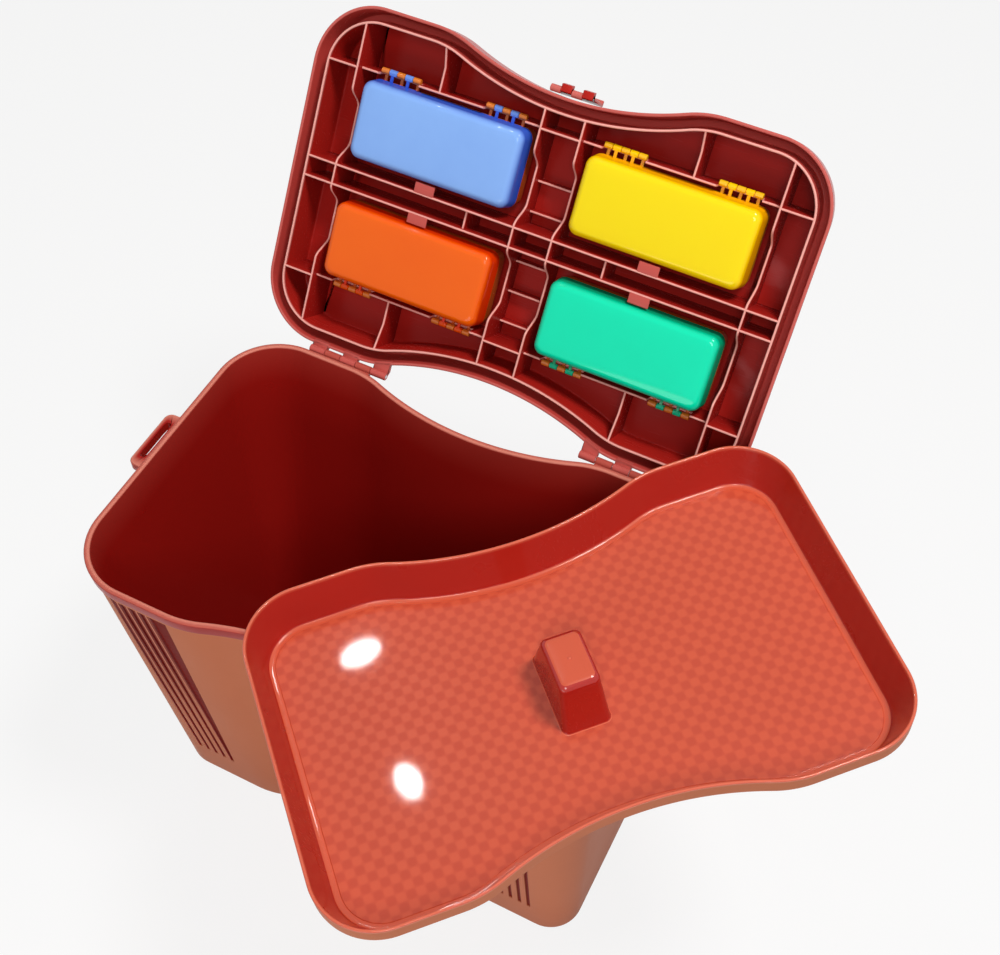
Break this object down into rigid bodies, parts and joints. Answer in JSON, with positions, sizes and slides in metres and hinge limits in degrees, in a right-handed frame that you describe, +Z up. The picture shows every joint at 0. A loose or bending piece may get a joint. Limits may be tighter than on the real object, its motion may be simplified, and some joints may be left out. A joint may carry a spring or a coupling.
{
  "type": "fishing tackle cabinet",
  "caption": "Waisted plastic seat box for fishing with a hinged lid that carries small tackle cases on ribs, and a lift-out tray with a hand grip.",
  "frame": {"origin": "centre of the flat base, on the ground", "axes": "+Z up, +X along the box to the right seen from the latch side, +Y from the latch side to the hinge side"},
  "size_m": [0.5837, 0.5738, 0.5684],
  "materials": {
    "box_plastic": "moulded gloss polypropylene, brick red",
    "pin_steel": "drawn wire",
    "case_base_plastic": "moulded gloss, orange",
    "blue_plastic": "moulded gloss, sky blue",
    "yellow_plastic": "moulded gloss, yellow",
    "orange_plastic": "moulded gloss, orange red",
    "green_plastic": "moulded gloss, sea green"
  },
  "bodies": {
    "box": {"body_shell": "box_plastic", "strap_loop_left": "box_plastic", "strap_loop_right": "box_plastic", "hinge_pin_left": "pin_steel", "hinge_pin_right": "pin_steel"},
    "lid": {"lid_shell": "box_plastic", "lid_cross_walls": "box_plastic", "lid_case_rails": "box_plastic", "lid_rail_posts": "box_plastic", "lid_channel_walls": "box_plastic", "lid_small_ribs": "box_plastic"},
    "latch": {"latch_flap": "box_plastic", "latch_pin": "pin_steel"},
    "tray": {"tray": "box_plastic"},
    "blue_case": {"blue_case_base": "case_base_plastic", "blue_case_pins": "case_base_plastic"},
    "blue_cover": {"blue_case_cover": "blue_plastic"},
    "yellow_case": {"yellow_case_base": "case_base_plastic", "yellow_case_pins": "case_base_plastic"},
    "yellow_cover": {"yellow_case_cover": "yellow_plastic"},
    "orange_case": {"orange_case_base": "case_base_plastic", "orange_case_pins": "case_base_plastic"},
    "orange_cover": {"orange_case_cover": "orange_plastic"},
    "green_case": {"green_case_base": "case_base_plastic", "green_case_pins": "case_base_plastic"},
    "green_cover": {"green_case_cover": "green_plastic"}
  },
  "joints": [
    {"name": "lid_hinge", "type": "hinge", "parent": "box", "child": "lid", "pos_m": [0, 0.1327, 0.3531], "axis": [1, 0, 0], "range_deg": [0, 124]},
    {"name": "latch_swing", "type": "hinge", "parent": "lid", "child": "latch", "pos_m": [0, 0.27404, 0.55317], "axis": [1, 0, 0], "range_deg": [0, 192]},
    {"name": "tray_lift", "type": "slide", "parent": "box", "child": "tray", "axis": [0, -0.9397, 0.342], "range_m": [0, 0.362]},
    {"name": "blue_case_lift", "type": "slide", "parent": "lid", "child": "blue_case", "axis": [0, -0.829, 0.5592], "range_m": [0, 0.036]},
    {"name": "blue_cover_hinge", "type": "hinge", "parent": "blue_case", "child": "blue_cover", "pos_m": [-0.0905, 0.26657, 0.526], "axis": [-1, 0, 0], "range_deg": [0, 80]},
    {"name": "yellow_case_lift", "type": "slide", "parent": "lid", "child": "yellow_case", "axis": [0, -0.829, 0.5592], "range_m": [0, 0.036]},
    {"name": "yellow_cover_hinge", "type": "hinge", "parent": "yellow_case", "child": "yellow_cover", "pos_m": [0.0905, 0.26657, 0.526], "axis": [-1, 0, 0], "range_deg": [0, 80]},
    {"name": "orange_case_lift", "type": "slide", "parent": "lid", "child": "orange_case", "axis": [0, -0.829, 0.5592], "range_m": [0, 0.036]},
    {"name": "orange_cover_hinge", "type": "hinge", "parent": "orange_case", "child": "orange_cover", "pos_m": [-0.0905, 0.17375, 0.38838], "axis": [1, 0, 0], "range_deg": [0, 80]},
    {"name": "green_case_lift", "type": "slide", "parent": "lid", "child": "green_case", "axis": [0, -0.829, 0.5592], "range_m": [0, 0.036]},
    {"name": "green_cover_hinge", "type": "hinge", "parent": "green_case", "child": "green_cover", "pos_m": [0.0905, 0.17375, 0.38838], "axis": [1, 0, 0], "range_deg": [0, 80]}
  ],
  "couplings": [
    {"joint": "tray_lift", "follows": "lid_hinge", "m_per_rad": 0.1671}
  ]
}
